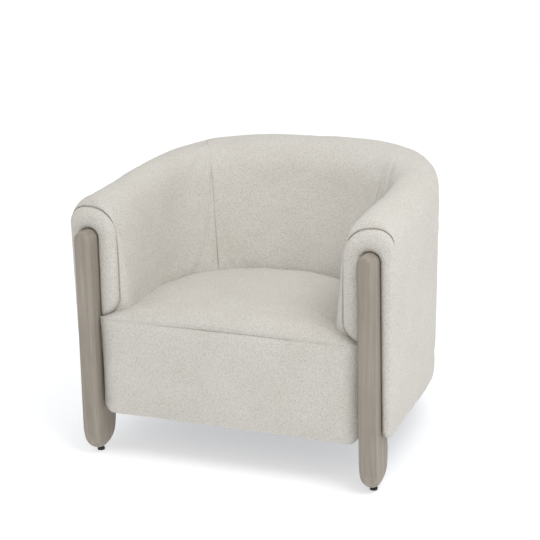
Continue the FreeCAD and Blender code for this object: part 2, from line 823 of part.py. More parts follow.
def leg(name, middle, front, depth, top, head=None):
    """A plank leg: eased uprights, a foot rounded both ways, and a rounded head if given."""
    x = (f"{middle} - Size.leg_width / 2", f"{middle} + Size.leg_width / 2")
    y = (front, f"{front} + {depth}")
    plank = block(f"{name}_plank", x, y, ("Size.glide_rise", top))
    eased = rounded(f"{name}_eased", plank, "Size.leg_edge", upright_edges)
    toe = foot_outline(
        f"{name}_toe", DOWN_FRONT, middle, front, "Size.leg_width / 2", "Size.toe_rise", top
    )
    heel = foot_outline(
        f"{name}_heel",
        DOWN_SIDE,
        middle,
        f"{front} + {depth} / 2",
        f"{depth} / 2",
        "Size.heel_rise",
        top,
    )
    front_view = prism(f"{name}_front_view", toe, FreeCAD.Vector(0, 1, 0), depth)
    side_view = prism(f"{name}_side_view", heel, FreeCAD.Vector(1, 0, 0), "Size.leg_width", True)
    if head:
        crown = number(top)
        brow = level_edges("x", crown, number(front))
        front_view = rounded(f"{name}_head", front_view, head, level_edges("y", crown))
        side_view = rounded(f"{name}_brow", side_view, "Size.leg_edge", brow)
    return common(name, eased, front_view, side_view)


def glide(name, x, y):
    """A round plastic glide on a nail."""
    foot = rod(f"{name}_foot", "Size.glide_width / 2", "Size.glide_rise", x, y, "0")
    shank = rod(f"{name}_nail", "Size.nail_width / 2", "Size.nail_length", x, y, "Size.glide_rise")
    return foot, shank


front_middle = "Size.front_plane + Size.leg_depth / 2"
front_foot, front_nail = glide("front_glide", "Size.leg_center", front_middle)
rear_foot, rear_nail = glide("rear_glide", "Size.rear_leg_x", REAR_LEG_MIDDLE)
node_pair(fuse("front_glide", front_foot, front_nail), "front_glide")
node_pair(fuse("rear_glide", rear_foot, rear_nail), "rear_glide")
lap = block(
    "leg_lap",
    ("0", "Size.half_width"),
    ("Size.facing_plane", "Size.facing_plane + Size.leg_depth"),
    ("Size.shell_bottom", CREST),
)
front_shape = leg(
    "front_leg_shape",
    "Size.leg_center",
    "Size.front_plane",
    "Size.leg_depth",
    "Size.leg_top",
    head="Size.leg_width / 2 - Size.leg_crown_flat",
)
node_pair(cut("front_leg", front_shape, lap, front_nail, insert_rods, bolt_shanks), "front_leg")
rear_shape = leg(
    "rear_leg_shape",
    "Size.rear_leg_x",
    "Size.rear_leg_y",
    "Size.rear_leg_depth",
    "Size.shell_bottom - Size.dust_cloth",
)
node_pair(cut("rear_leg", rear_shape, rear_nail, rear_shank), "rear_leg")


def check(features):
    """Stop if any object failed or any sub-part has no sound shape."""
    for feature in doc.Objects:
        failed = [word for word in ("Invalid", "Error") if word in feature.State]
        if failed:
            raise SystemExit(f"{feature.Label} is {failed[0]}")
    for feature in features:
        if feature.Shape.isNull() or not feature.Shape.isValid():
            raise SystemExit(f"{feature.Label} has no valid shape")


doc.recompute()
check(nodes)
os.makedirs("parts", exist_ok=True)
for feature in nodes:
    feature.Shape.exportStep(f"parts/{feature.Label}.step")
    print(feature.Label, len(feature.Shape.Solids), round(feature.Shape.Volume / 1000), "cm3")
print(len(nodes), "sub-parts")
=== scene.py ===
import json
import math

import bpy
import numpy as np
from mathutils import Matrix, Vector, noise


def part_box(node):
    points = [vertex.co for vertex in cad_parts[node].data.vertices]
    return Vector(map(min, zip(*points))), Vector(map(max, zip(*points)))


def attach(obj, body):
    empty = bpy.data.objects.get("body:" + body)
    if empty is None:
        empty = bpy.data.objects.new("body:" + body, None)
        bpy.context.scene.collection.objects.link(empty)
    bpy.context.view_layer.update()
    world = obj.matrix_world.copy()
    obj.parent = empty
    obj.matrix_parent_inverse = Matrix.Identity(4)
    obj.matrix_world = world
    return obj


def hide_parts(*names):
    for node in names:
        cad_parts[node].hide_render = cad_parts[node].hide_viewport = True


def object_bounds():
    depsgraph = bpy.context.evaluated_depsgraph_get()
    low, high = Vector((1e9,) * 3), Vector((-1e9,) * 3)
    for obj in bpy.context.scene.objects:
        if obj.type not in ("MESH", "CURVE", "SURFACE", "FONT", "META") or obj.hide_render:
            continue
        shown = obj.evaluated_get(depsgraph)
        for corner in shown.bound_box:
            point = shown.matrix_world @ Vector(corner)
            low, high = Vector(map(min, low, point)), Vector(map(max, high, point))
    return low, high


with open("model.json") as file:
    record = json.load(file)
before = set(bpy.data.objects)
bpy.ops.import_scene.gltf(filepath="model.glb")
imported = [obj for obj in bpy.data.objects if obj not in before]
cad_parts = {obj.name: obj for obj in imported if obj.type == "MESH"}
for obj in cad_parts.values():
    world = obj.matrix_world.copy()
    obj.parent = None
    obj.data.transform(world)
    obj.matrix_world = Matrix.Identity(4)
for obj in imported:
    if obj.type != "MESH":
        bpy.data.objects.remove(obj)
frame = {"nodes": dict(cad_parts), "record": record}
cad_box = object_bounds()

# Upholstered tub armchair. Metres, Z up, the chair faces -Y, left and right as seen from the front.

# Places read from the frame.
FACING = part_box("arm_facing_cover_right")[0][1]
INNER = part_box("arm_facing_cover_right")[0][0]
ARM_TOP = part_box("arm_facing_cover_right")[1][2]
HALF = cad_box[1][0]
BACK = cad_box[1][1]
CREST = cad_box[1][2]
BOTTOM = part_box("arm_cover_right")[0][2]
SEAT_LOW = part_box("seat_front_cover")[0]
LEG_LOW, LEG_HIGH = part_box("front_leg_right")
LEG_X = (LEG_LOW[0] + LEG_HIGH[0]) / 2

# The barrel's plan: straight sides, then a superellipse round the back.
OUTER_SPRING = -0.119
OUTER_POWER = 2.775
INNER_LOW_SPRING = -0.188
INNER_LOW_BACK = 0.100
INNER_LOW_POWER = 2.05
INNER_TOP = 0.291
INNER_TOP_SPRING = -0.035
INNER_TOP_BACK = 0.204
INNER_TOP_POWER = 2.25
PLAN_TURNS = 4000
PLAN_POINTS = 3000

# In plan, the seam between arm and back lies on a slanted line from this apex on the middle.
SEAM_APEX = -0.287
SEAM_SLOPE = math.tan(math.radians(30))

# The barrel's section. The inside wall runs on behind the seat from SEAT_LINE to HIDDEN_LOW.
SEAT_LINE = 0.378
HIDDEN_LOW = 0.300
HIDDEN_MARGIN = 0.03
OUTER_ROUND = 0.060
INNER_ROUND = 0.085
INNER_BLEND = 0.16
BEZIER_PULL = 0.75
LEAN = math.tan(math.radians(0.6))
CREST_CURVE = 1.13
TURN_UNDER = 0.032
UNDER_RISE = 0.002
EDGE_ROUND = 0.006
ROLL_DEPTH = 0.023

# The arm's front panel, inside its seam.
PANEL_INNER = 0.291
PANEL_OUTER = 0.4165
PANEL_TOP = 0.645
PANEL_LOW = 0.368
PANEL_INNER_ROUND = 0.070
PANEL_OUTER_ROUND = 0.042
PANEL_CORNER = 0.052
PANEL_FOOT = 0.012
PANEL_CROWN = 0.018
PANEL_CROWN_REACH = 0.034
PANEL_BURIED = 0.014
SPINE_LOW = 0.03
SPINE_HIGH = 0.06
SPINE_STOP = 0.96

# A seam pulls the cloth into a narrow groove, to a share of its depth in each place.
SEAM_DEPTH = 0.0034
SEAM_REACH = 0.0019
WALL_SEAM = 0.75
CREST_SEAM = 0.35
ROLL_PULL = 0.5
PANEL_PULL = 0.4
PANEL_SEAM = 0.9
HEM_REACH = 0.004
HEM_DEPTH = 0.0035
NEAR_SEAM = np.array([0, 0.0008, 0.0017, 0.0028, 0.0044, 0.0070])

# A leg presses the panel in around itself.
PRESS_DEPTH = 0.013
PRESS_REACH = 0.0040

# How far the cloth may swell from the drawn form.
ARM_SWELL = 0.003
BACK_SWELL = 0.004
SEAT_TOP_SWELL = 0.003
SEAT_FRONT_SWELL = 0.004
CLOTH_PRESSURE = 4.0
CLOTH_FRAMES = 20

# Broad dents, with finer ones on top.
DENT_HEIGHT = 0.0016
DENT_SIZE = 0.09
PANEL_DENT_HEIGHT = 0.0006
PANEL_DENT_SIZE = 0.05
FINE_DENT_SHARE = 0.4
FINE_DENT_SIZE = 0.35

# The legs: half-ellipse feet, round heads on the front ones and eased edges.
LEG_EDGE = 0.013
TOE_RISE = 0.045
HEEL_RISE = 0.082
FOOT_SINK = 0.002
LEG_BURIED = 0.012
LEG_LEAN = 0.0065
SHAFT_STEP = 0.0004
CROWN_END = math.radians(89)
AXIS_STRETCH = 1.25

# The seat, and the tight roll under its front.
SEAT_SEAM = 0.367
SEAT_SIDE = 0.3465
SEAT_END_ROUND = 0.036
SEAT_CORNER = 0.034
SEAM_FADE_START = 0.338
SEAM_FADE = 0.045
SEAT_EDGE = 0.392
SEAT_END_DROP = 0.020
SEAT_TUCK = 0.016
SEAT_TUCK_REACH = 0.022
SEAT_CROWN = 0.020
SEAT_CROWN_HALF = 0.31
SEAT_CROWN_MIDDLE = -0.16
SEAT_CROWN_LENGTH = 0.30
SEAT_ROLL = 0.034
SEAT_ROW_BUNCHING = 1.6
SEAT_END_DEPTH = 0.055
SEAT_FRONT_INSET = 0.002
SEAT_WALL_START = 0.09
SEAT_WALL_SPREAD = 1.015
SEAT_UNDER = 0.08
UNDER_ROLL = 0.014
UNDER_DEPTH = 0.034

# How finely each form is divided.
WALL_POINTS = 56
UNDER_POINTS = 7
TOP_POINTS = 26
INNER_POINTS = 38
EDGE_POINTS = 6
ARM_ROWS = 72
BACK_ROWS = 90
ROLL_ROWS = 7
PANEL_ROWS = 32
FOOT_LEVELS = 26
SHAFT_LEVELS = 40
CROWN_LEVELS = 22
PLAIN_LEVELS = 8
LEG_SIDES = 96
LEG_HALVINGS = 40
SEAT_COLUMNS = 110
SEAT_ROWS = 64
SEAT_FRONT_ROWS = 32
SEAT_UNDER_ROWS = 5
SEAT_WALL_POINTS = 160
SEAT_HIDDEN_ROWS = 3

# A wave texture with threads a pitch apart has the scale 1 / (WAVE_TURN * pitch).
WAVE_TURN = 6.28

# Studio.
FLOOR_REACH = 30
CAMERA_PLACE = (1.259, -3.256, 1.463)
CAMERA_YAW = math.radians(21.50)
CAMERA_PITCH = math.radians(16.66)
CAMERA_ROLL = math.radians(-1.15)
CAMERA_LENS = 92.47
CAMERA_SENSOR = 36


def resample(points, count):
    """The same line with evenly spaced points."""
    points = np.asarray(points, float)
    steps = np.linalg.norm(np.diff(points, axis=0), axis=1)
    travel = np.concatenate([[0], np.cumsum(steps)])
    places = np.linspace(0, travel[-1], count)
    return np.column_stack([np.interp(places, travel, column) for column in points.T])


def arc(center, radius, start, end, count=16):
    """Points of an arc in a plane, angles in degrees."""
    angles = np.radians(np.linspace(start, end, count))
    return np.array(center) + radius * np.column_stack([np.cos(angles), np.sin(angles)])


def bezier(a, b, c, d, count=24):
    """Points of a cubic curve."""
    t = np.linspace(0, 1, count)[:, None]
    return a * (1 - t) ** 3 + 3 * b * t * (1 - t) ** 2 + 3 * c * t ** 2 * (1 - t) + d * t ** 3


class Plan:
    """Half of a U-shaped plan. at(0) is the arm front, at(1) the seam and at(2) the middle back."""

    def __init__(self, half, spring, back, power):
        turn = np.linspace(0, math.pi / 2, PLAN_TURNS)
        x = half * np.cos(turn) ** (2 / power)
        y = spring + (back - spring) * np.sin(turn) ** (2 / power)
        line = np.column_stack([np.append(half, x), np.append(FACING, y)])
        line[-1, 0] = 0
        line = resample(line, PLAN_POINTS)
        ahead = line[:, 0] - (line[:, 1] - SEAM_APEX) * SEAM_SLOPE
        cut = int(np.argmax(ahead <= 0))
        self.arm = line[: cut + 1]
        self.back = line[cut:]

    def at(self, s):
        part = self.arm if s <= 1 else self.back
        place = (s if s <= 1 else s - 1) * (len(part) - 1)
        index = np.arange(len(part))
        return np.array([np.interp(place, index, part[:, 0]), np.interp(place, index, part[:, 1])])


outer_plan = Plan(HALF, OUTER_SPRING, BACK, OUTER_POWER)
inner_low_plan = Plan(INNER, INNER_LOW_SPRING, INNER_LOW_BACK, INNER_LOW_POWER)
inner_top_plan = Plan(INNER_TOP, INNER_TOP_SPRING, INNER_TOP_BACK, INNER_TOP_POWER)


def crest_height(y):
    return ARM_TOP + (CREST - ARM_TOP) * max((y - FACING) / (BACK - FACING), 0) ** CREST_CURVE


def barrel_section(s):
    """One slice of the barrel, from under its outside edge, over the crest, to behind the seat."""
    outside, top, low = outer_plan.at(s), inner_top_plan.at(s), inner_low_plan.at(s)
    width = np.linalg.norm(top - outside)
    inward = (top - outside) / width
    crest = crest_height(outside[1])
    inner_round = min(width - OUTER_ROUND, INNER_ROUND)
    wall_top = crest - OUTER_ROUND
    foot = LEAN * (wall_top - BOTTOM)
    wall = [[foot + TURN_UNDER, BOTTOM + UNDER_RISE]]
    wall += list(arc((foot + EDGE_ROUND, BOTTOM + EDGE_ROUND), EDGE_ROUND, 270, 180, EDGE_POINTS))
    wall += [[0, wall_top]]
    over = arc((OUTER_ROUND, wall_top), OUTER_ROUND, 180, 90)
    wall = np.array([np.append(outside + inward * d, z) for d, z in resample(wall, WALL_POINTS)])
    over = np.array([np.append(outside + inward * d, z) for d, z in over])
    brow = np.append(top, crest - inner_round)
    foot = np.append(low, SEAT_LINE)
    down = (foot - brow) / np.linalg.norm(foot - brow)
    crown_end = np.append(outside + inward * (width - inner_round), crest)
    wall_start = brow + (foot - brow) * INNER_BLEND
    pull = inner_round * BEZIER_PULL
    crown_pull = crown_end + np.append(inward, 0) * pull
    inner = bezier(crown_end, crown_pull, wall_start - down * pull, wall_start)
    over = resample(np.vstack([over, inner]), TOP_POINTS + 1)[1:]
    down = resample([over[-1], foot, np.append(low, HIDDEN_LOW)], INNER_POINTS + 1)[1:]
    return np.vstack([wall, over, down])


def panel_outline():
    """The seam round the arm's front panel, as x and z, matched point by point to a section."""
    foot = LEAN * (ARM_TOP - OUTER_ROUND - BOTTOM)
    edge = (PANEL_OUTER - foot - EDGE_ROUND, BOTTOM + EDGE_ROUND)
    outer = (PANEL_OUTER - PANEL_OUTER_ROUND, PANEL_TOP - PANEL_OUTER_ROUND)
    inner = (PANEL_INNER + PANEL_INNER_ROUND, PANEL_TOP - PANEL_INNER_ROUND)
    corner = (PANEL_INNER + PANEL_CORNER, PANEL_LOW + PANEL_CORNER)
    wall = [[PANEL_OUTER - foot - TURN_UNDER, BOTTOM + UNDER_RISE]]
    wall += [*arc(edge, EDGE_ROUND, 270, 360, EDGE_POINTS), [PANEL_OUTER, outer[1]]]
    over = [*arc(outer, PANEL_OUTER_ROUND, 0, 90), *arc(inner, PANEL_INNER_ROUND, 90, 180)]
    down = [over[-1], *arc(corner, PANEL_CORNER, 180, 270), [corner[0] + PANEL_FOOT, PANEL_LOW]]
    return np.vstack([
        resample(wall, WALL_POINTS),
        resample(over, TOP_POINTS + 1)[1:],
        resample(down, INNER_POINTS + 1)[1:],
    ])


def smooth_mesh(name, grid):
    """A closed form from a grid of rings, with flat ends and its faces turned outwards."""
    rows, columns = grid.shape[:2]
    points = grid.reshape(-1, 3)
    faces = []
    for i in range(rows - 1):
        for j in range(columns):
            a, b = i * columns + j, i * columns + (j + 1) % columns
            faces.append([a, b, b + columns, a + columns])
    faces.append(list(range(columns))[::-1])
    faces.append(list(range((rows - 1) * columns, rows * columns)))
    corners = points[np.array(faces[: (rows - 1) * columns])]
    spans = np.cross(corners[:, 1] - corners[:, 0], corners[:, 2] - corners[:, 0])
    if np.sum(spans * (corners[:, 0] - points.mean(axis=0))) < 0:
        faces = [face[::-1] for face in faces]
    mesh = bpy.data.meshes.new(name)
    mesh.from_pydata(points.tolist(), [], faces)
    mesh.update()
    return finish_piece(name, mesh)


def finish_piece(name, mesh):
    for polygon in mesh.polygons:
        polygon.use_smooth = True
    piece = bpy.data.objects.new(name, mesh)
    bpy.context.collection.objects.link(piece)
    return piece


def coordinates(mesh):
    flat = np.empty(len(mesh.vertices) * 3)
    mesh.vertices.foreach_get("co", flat)
    return flat.reshape(-1, 3)


def set_coordinates(mesh, points):
    mesh.vertices.foreach_set("co", np.asarray(points, float).ravel())
    mesh.update()


def puff(piece, held, most):
    """Inflate a piece with cloth held along its seams, and cap how far a point moves."""
    scene = bpy.context.scene
    start = coordinates(piece.data)
    group = piece.vertex_groups.new(name="held")
    group.add([int(i) for i in np.flatnonzero(held)], 1.0, "REPLACE")
    cloth = piece.modifiers.new("cloth", "CLOTH")
    settings = cloth.settings
    settings.quality = 7
    settings.mass = 0.4
    settings.tension_stiffness = 25
    settings.compression_stiffness = 25
    settings.shear_stiffness = 12
    settings.bending_stiffness = 3
    settings.air_damping = 4
    settings.use_pressure = True
    settings.uniform_pressure_force = CLOTH_PRESSURE
    settings.vertex_group_mass = "held"
    settings.effector_weights.gravity = 0
    cloth.collision_settings.use_collision = False
    cloth.point_cache.frame_start = 1
    cloth.point_cache.frame_end = CLOTH_FRAMES
    for step in range(1, CLOTH_FRAMES + 1):
        scene.frame_set(step)
    shown = piece.evaluated_get(bpy.context.evaluated_depsgraph_get())
    moved = coordinates(shown.data) - start
    length = np.linalg.norm(moved, axis=1, keepdims=True)
    # A soft cap, so that the limit leaves no flat spot.
    capped = most * np.tanh(length / most)
    set_coordinates(piece.data, start + moved * capped / np.maximum(length, 1e-9))
    piece.modifiers.remove(cloth)
    piece.vertex_groups.remove(group)
    scene.frame_set(1)


def subdivide(piece):
    """Apply one subdivision."""
    smooth = piece.modifiers.new("smooth", "SUBSURF")
    smooth.levels = 1
    smooth.render_levels = 1
    shown = piece.evaluated_get(bpy.context.evaluated_depsgraph_get())
    mesh = bpy.data.meshes.new_from_object(shown)
    piece.modifiers.remove(smooth)
    old = piece.data
    piece.data = mesh
    bpy.data.meshes.remove(old)
    mesh.name = piece.name


def soften(piece, height=DENT_HEIGHT, size=DENT_SIZE):
    """Broad uneven dents, as hand-filled padding has."""
    points = coordinates(piece.data)
    normals = np.empty(len(points) * 3)
    piece.data.vertices.foreach_get("normal", normals)
    normals = normals.reshape(-1, 3)
    broad = np.array([noise.noise(Vector(p) / size) for p in points])
    fine = np.array([noise.noise(Vector(p) / (size * FINE_DENT_SIZE)) for p in points])
    lift = height * (broad + FINE_DENT_SHARE * fine)
    set_coordinates(piece.data, points + normals * lift[:, None])


def mirror_piece(piece, name):
    mesh = piece.data.copy()
    mesh.name = name
    mesh.transform(Matrix.Scale(-1, 4, (1, 0, 0)))
    mesh.flip_normals()
    return finish_piece(name, mesh)


def rows_between_seams(length, count, front=True, back=True):
    """Places from 0 to 1 along a length: evenly spaced, with extra ones beside a seam."""
    near = NEAR_SEAM / length
    low = near[-1] if front else 0
    high = 1 - near[-1] if back else 1
    middle = np.linspace(low, high, count)
    start = near[:-1] if front else []
    end = (1 - near[:-1])[::-1] if back else []
    return np.concatenate([start, middle, end])


def outward(grid):
    """Surface normals of a tube-like grid."""
    along_rows = np.gradient(grid, axis=0)
    around = np.roll(grid, -1, axis=1) - np.roll(grid, 1, axis=1)
    normal = np.cross(along_rows, around)
    normal /= np.maximum(np.linalg.norm(normal, axis=2, keepdims=True), 1e-9)
    from_middle = grid - grid.mean(axis=1, keepdims=True)
    return normal * np.sign(np.sum(normal * from_middle))


def nearness(grid):
    """How near each point is to the first row and to the last one, from 0 to 1."""
    steps = np.linalg.norm(np.diff(grid, axis=0), axis=2)
    travel = np.vstack([np.zeros(grid.shape[1]), np.cumsum(steps, axis=0)])
    return np.exp(-travel / SEAM_REACH), np.exp(-(travel[-1] - travel) / SEAM_REACH)


def turned_in(grid):
    """The fabric past the last row, turned in under its neighbour so that the seam stays closed."""
    normal = outward(grid)[-1]
    step = grid[-1] - grid[-2]
    step = step - normal * np.sum(step * normal, axis=1, keepdims=True)
    step /= np.maximum(np.linalg.norm(step, axis=1, keepdims=True), 1e-9)
    past = grid[-1] + HEM_REACH * step - HEM_DEPTH * normal
    return np.concatenate([grid, past[None], (past - HEM_DEPTH * normal)[None]])


def back_seam_weight(columns):
    """The seams between arms and back are firm on the inside wall and faint over the crest."""
    weight = np.full(columns, CREST_SEAM)
    weight[WALL_POINTS + TOP_POINTS:] = WALL_SEAM
    return weight


def arm_grid():
    """The right arm: a roll from the front panel's seam, then sections back to the back's seam."""
    outline = panel_outline()
    arm_length = np.linalg.norm(np.diff(outer_plan.arm, axis=0), axis=1).sum()
    start = ROLL_DEPTH / arm_length
    first = barrel_section(start)
    quarter = ROLL_DEPTH * math.pi / 2
    rows = []
    for turn in rows_between_seams(quarter, ROLL_ROWS, back=False)[:-1] * math.pi / 2:
        row = first.copy()
        row[:, 0] = outline[:, 0] + (first[:, 0] - outline[:, 0]) * math.sin(turn)
        row[:, 2] = outline[:, 1] + (first[:, 2] - outline[:, 1]) * math.sin(turn)
        row[:, 1] = FACING + (first[:, 1] - FACING) * (1 - math.cos(turn))
        rows.append(row)
    for s in start + (1 - start) * rows_between_seams(arm_length, ARM_ROWS, front=False):
        rows.append(barrel_section(s))
    grid = np.array(rows)
    front, back = nearness(grid)
    depth = SEAM_DEPTH * (front + back * back_seam_weight(grid.shape[1]))
    grid = grid - outward(grid) * depth[:, :, None]
    grid[:, :, 1] += ROLL_PULL * SEAM_DEPTH * front
    return turned_in(grid)


def barrel_piece(name, grid, most):
    """A closed barrel piece, puffed between its seams."""
    piece = smooth_mesh(name, grid)
    rows, columns = grid.shape[:2]
    row = np.repeat(np.arange(rows), columns)
    column = np.tile(np.arange(columns), rows)
    edge = len(NEAR_SEAM) - 2
    behind_seat = grid.reshape(-1, 3)[:, 2] < SEAT_LINE - HIDDEN_MARGIN
    hidden = behind_seat & (column > WALL_POINTS + TOP_POINTS)
    held = (row < edge) | (row >= rows - edge) | (column < UNDER_POINTS) | hidden
    puff(piece, held, most)
    subdivide(piece)
    soften(piece)
    return piece


def make_back():
    """The back, from the right seam to the left seam."""
    length = np.linalg.norm(np.diff(outer_plan.back, axis=0), axis=1).sum()
    places = rows_between_seams(length, BACK_ROWS // 2, back=False)
    half = np.array([barrel_section(1 + s) for s in places])
    other = half[:-1][::-1].copy()
    other[:, :, 0] *= -1
    grid = np.concatenate([half, other])
    depth = SEAM_DEPTH * sum(nearness(grid)) * back_seam_weight(grid.shape[1])
    grid = turned_in(grid - outward(grid) * depth[:, :, None])
    return barrel_piece("back_rest", turned_in(grid[::-1])[::-1], BACK_SWELL)


def leg_distance(x, z):
    """How far a place on the front lies outside the leg's outline."""
    half = (LEG_HIGH[0] - LEG_LOW[0]) / 2
    rise = np.maximum(z - (LEG_HIGH[2] - half), 0)
    return np.hypot(x - LEG_X + LEG_LEAN * z / LEG_HIGH[2], rise) - half


def make_facing():
    """The arm's front panel: a crowned pad inside its seam, pressed in around the leg."""
    outline = panel_outline()
    spine = np.column_stack([
        np.full(len(outline), LEG_X),
        np.clip(outline[:, 1], BOTTOM + SPINE_LOW, PANEL_TOP - SPINE_HIGH),
    ])
    reach = np.linalg.norm(spine - outline, axis=1)
    rows = []
    for t in [*-NEAR_SEAM[::-1], *np.linspace(0, SPINE_STOP, PANEL_ROWS)[1:]]:
        # Near the seam the rows keep their distance from it; further in they share out the rest.
        inset = NEAR_SEAM[-1] + t if t <= 0 else NEAR_SEAM[-1] + (reach - NEAR_SEAM[-1]) * t
        inset = np.broadcast_to(inset, reach.shape)
        near = np.exp(-inset / SEAM_REACH)
        pulled = inset + PANEL_PULL * SEAM_DEPTH * near
        flat = outline + (spine - outline) * (pulled / reach)[:, None]
        inside = np.minimum(inset / PANEL_CROWN_REACH, 1)
        lift = PANEL_CROWN * np.sqrt(1 - (1 - inside) ** 2) - PANEL_SEAM * SEAM_DEPTH * near
        beside = np.maximum(leg_distance(flat[:, 0], flat[:, 1]), 0)
        lift -= PRESS_DEPTH * np.exp(-beside / PRESS_REACH)
        rows.append(np.column_stack([flat[:, 0], FACING - lift, flat[:, 1]]))
    under = rows[0].copy()
    under[:, 1] = FACING + PANEL_BURIED
    rows.insert(0, under)
    piece = smooth_mesh("arm_front_right", np.array(rows))
    subdivide(piece)
    soften(piece, PANEL_DENT_HEIGHT, PANEL_DENT_SIZE)
    return piece, mirror_piece(piece, "arm_front_left")


def round_meet(a, b, radius):
    """Signed distance to the overlap of two shapes, with a rounded edge between them."""
    corner = np.hypot(np.maximum(a + radius, 0), np.maximum(b + radius, 0))
    return np.minimum(np.maximum(a, b), -radius) + corner


def make_leg(name, node, head):
    """A plank leg with a foot rounded both ways, and a round head if it has one."""
    low, high = (np.array(corner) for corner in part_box(node))
    half, depth = (high[0] - low[0]) / 2, high[1] - low[1]
    middle_x, middle_y = (low[0] + high[0]) / 2, (low[1] + high[1]) / 2
    toe_level, heel_level = (low[2] - FOOT_SINK + rise for rise in (TOE_RISE, HEEL_RISE))
    shaft_y = low[1] + half if head else middle_y
    top = high[2]

    def outside(x, y, z):
        toe = (np.hypot(x / half, np.maximum(toe_level - z, 0) / TOE_RISE) - 1) * half
        crown = np.hypot(x, np.maximum(z - (top - half), 0)) - half if head else toe
        across = np.where(z < toe_level, toe, crown)
        lean = np.maximum(heel_level - z, 0) / HEEL_RISE
        along = (np.hypot((y - middle_y) / (depth / 2), lean) - 1) * depth / 2
        if head:
            along = np.maximum(along, np.where(z > BOTTOM, y - FACING - LEG_BURIED, along))
        return round_meet(across, along, LEG_EDGE)

    turn = np.linspace(0, math.pi / 2, FOOT_LEVELS)
    foot = low[2] + (heel_level - low[2]) * (1 - np.cos(turn))
    plain = np.linspace(heel_level, BOTTOM if head else top, PLAIN_LEVELS)[1:]
    levels = np.concatenate([foot, plain])
    if head:
        shaft = np.linspace(BOTTOM + SHAFT_STEP, top - half, SHAFT_LEVELS)
        crown = top - half + half * np.sin(np.linspace(0, CROWN_END, CROWN_LEVELS))[1:]
        levels = np.concatenate([levels, shaft, crown])
    angles = np.linspace(0, 2 * math.pi, LEG_SIDES, endpoint=False)
    z, angle = np.meshgrid(levels, angles, indexing="ij")
    # The rings close on the foot's middle below, and stay inside the thin shaft above.
    share = (z - low[2]) / (BOTTOM - low[2]) * AXIS_STRETCH
    share = np.clip(share - (AXIS_STRETCH - 1), 0, 1)
    axis_y = middle_y + (shaft_y - middle_y) * share
    near, far = np.zeros_like(z), np.full_like(z, depth)
    for _ in range(LEG_HALVINGS):
        guess = (near + far) / 2
        inside = outside(guess * np.cos(angle), axis_y + guess * np.sin(angle), z) < 0
        near, far = np.where(inside, guess, near), np.where(inside, far, guess)
    x = middle_x + near * np.cos(angle)
    if head:
        # The front legs stand a little wider on the floor than at the arms.
        x = x - math.copysign(LEG_LEAN, middle_x) * z / top
    return smooth_mesh(name, np.stack([x, axis_y + near * np.sin(angle), z], axis=2))


def seat_front_line(count):
    """The seat's edge in plan: from the left arm, round both ends, to the right arm."""
    end = FACING + SEAT_END_DEPTH
    front = SEAT_LOW[1] + SEAT_FRONT_INSET
    center = (SEAT_SIDE - SEAT_END_ROUND, front + SEAT_END_ROUND)
    right = [*arc(center, SEAT_END_ROUND, 270, 360), [SEAT_SIDE, end]]
    left = [[-x, y] for x, y in right][::-1]
    return resample(left + right, count)


def edge_inward(edge):
    """Unit vectors that point from the seat's edge to its inside."""
    along = np.gradient(edge, axis=0)
    across = np.column_stack([-along[:, 1], along[:, 0]])
    return across / np.linalg.norm(across, axis=1, keepdims=True)


def seat_wall_line(count):
    """The line where the seat meets the arms and back, just inside their padding."""
    places = np.linspace(SEAT_WALL_START, 2, SEAT_WALL_POINTS)
    right = np.array([inner_low_plan.at(s) for s in places])
    left = right[::-1].copy()
    left[:, 0] *= -1
    line = np.vstack([right, left[1:]])[::-1]
    return resample(line * np.array([SEAT_WALL_SPREAD, 1.0]), count)


def quarter_round(distance, reach):
    """A rise from 0 to 1 over the reach, round like a quarter of a circle."""
    return np.sqrt(1 - (1 - np.clip(distance / reach, 0, 1)) ** 2)


def make_seat_top():
    """The crowned top, from the front seam back to the arms and back."""
    edge = seat_front_line(SEAT_COLUMNS)
    wall = seat_wall_line(SEAT_COLUMNS)
    inward = edge_inward(edge)
    rows = []
    for v in np.linspace(0, 1, SEAT_ROWS) ** SEAT_ROW_BUNCHING:
        flat = edge + (wall - edge) * v
        from_edge = np.linalg.norm(flat - edge, axis=1)
        from_wall = np.linalg.norm(flat - wall, axis=1)
        roll = quarter_round(from_edge, SEAT_ROLL)
        tuck = quarter_round(from_wall, SEAT_TUCK_REACH)
        across = flat[:, 0] / SEAT_CROWN_HALF
        along = (flat[:, 1] - SEAT_CROWN_MIDDLE) / SEAT_CROWN_LENGTH
        crown = np.clip(1 - across ** 2, 0, 1) * np.clip(1 - along ** 2, 0, 1)
        drop = SEAT_END_DROP * np.clip((np.abs(flat[:, 0]) - INNER) / (SEAT_SIDE - INNER), 0, 1)
        z = SEAT_SEAM + (SEAT_EDGE - drop - SEAT_SEAM) * roll
        z += SEAT_CROWN * crown
        z -= SEAT_TUCK * (1 - tuck)
        rows.append(np.column_stack([pull_in(flat, inward, from_edge + (z - SEAT_SEAM)), z]))
    low = rows[-1].copy()
    low[:, 2] = HIDDEN_LOW
    under = rows[0].copy()
    under[:, 2] = HIDDEN_LOW
    under[:, :2] += (wall - edge) * SEAT_UNDER
    return seat_piece("seat_top", np.array([*rows, low, under]), SEAT_TOP_SWELL)


def pull_in(flat, inward, distance):
    """Move the points beside the seat's seam inwards, less so towards the legs."""
    depth = SEAM_DEPTH * np.clip((SEAM_FADE_START - np.abs(flat[:, 0])) / SEAM_FADE, 0, 1)
    return flat + inward * (depth * np.exp(-distance / SEAM_REACH))[:, None]


def seat_piece(name, grid, most):
    """A closed seat piece. Each column of the grid is one of its rings, from left to right."""
    rows, columns = grid.shape[:2]
    piece = smooth_mesh(name, np.transpose(grid, (1, 0, 2)))
    row = np.tile(np.arange(rows), columns)
    column = np.repeat(np.arange(columns), rows)
    hidden = row >= rows - SEAT_HIDDEN_ROWS
    held = (row == 0) | hidden | (column == 0) | (column == columns - 1)
    puff(piece, held, most)
    subdivide(piece)
    soften(piece)
    return piece


